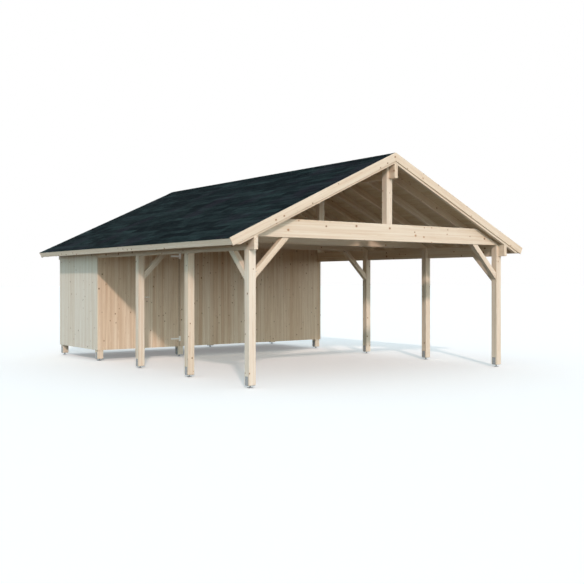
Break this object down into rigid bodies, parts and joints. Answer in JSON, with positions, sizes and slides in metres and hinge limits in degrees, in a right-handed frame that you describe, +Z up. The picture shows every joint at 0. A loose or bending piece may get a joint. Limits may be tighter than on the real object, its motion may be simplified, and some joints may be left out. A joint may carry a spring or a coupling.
{
  "type": "timber carport with store room",
  "caption": "Open timber carport with a shingled gable roof on braced posts and a boarded store room with a hinged door across its back end.",
  "frame": {"origin": "on the ground under the middle of the roof", "axes": "+X across the gable to the right seen from the open front, +Y from the open front to the store room, +Z up"},
  "size_m": [6.3674, 7.63, 3.6611],
  "materials": {
    "beam_timber": "planed spruce, untreated",
    "board_timber": "planed spruce boards, untreated",
    "bitumen_shingle": "mineral grit on bitumen felt, matt",
    "galvanised_steel": "hot-dip galvanised",
    "handle_metal": "satin"
  },
  "bodies": {
    "building": {"posts_left": "beam_timber", "posts_right": "beam_timber", "posts_room": "beam_timber", "plate_beam_left": "beam_timber", "plate_beam_right": "beam_timber", "ridge_beam": "beam_timber", "tie_beam_front": "beam_timber", "tie_beams_inner": "beam_timber", "tie_beams_room": "beam_timber", "king_posts": "beam_timber", "front_brace_left": "beam_timber", "front_brace_right": "beam_timber", "inner_brace_left": "beam_timber", "inner_brace_right": "beam_timber", "side_brace_left": "beam_timber", "side_brace_right": "beam_timber", "rafters_left": "beam_timber", "rafters_right": "beam_timber", "roof_boards_left": "board_timber", "roof_boards_right": "board_timber", "fascia_left": "board_timber", "fascia_right": "board_timber", "rake_front_left": "board_timber", "rake_front_right": "board_timber", "rake_back_left": "board_timber", "rake_back_right": "board_timber", "wall_front_left": "board_timber", "wall_front_right": "board_timber", "wall_over_door": "board_timber", "wall_left": "board_timber", "wall_right": "board_timber", "wall_back": "board_timber", "wall_rails": "board_timber", "shingles_left": "bitumen_shingle", "shingles_right": "bitumen_shingle", "ridge_cap": "bitumen_shingle", "shoes_left": "galvanised_steel", "shoes_right": "galvanised_steel", "shoes_room": "galvanised_steel", "hinge_plates": "galvanised_steel"},
    "door": {"door_leaf": "board_timber", "door_ledges": "board_timber", "door_braces": "board_timber", "hinge_straps": "galvanised_steel", "door_handle": "handle_metal"}
  },
  "joints": [
    {"name": "door_hinge", "type": "hinge", "parent": "building", "child": "door", "pos_m": [-0.966, 1.706, 1.2], "axis": [0, 0, 1], "range_deg": [0, 120]}
  ]
}
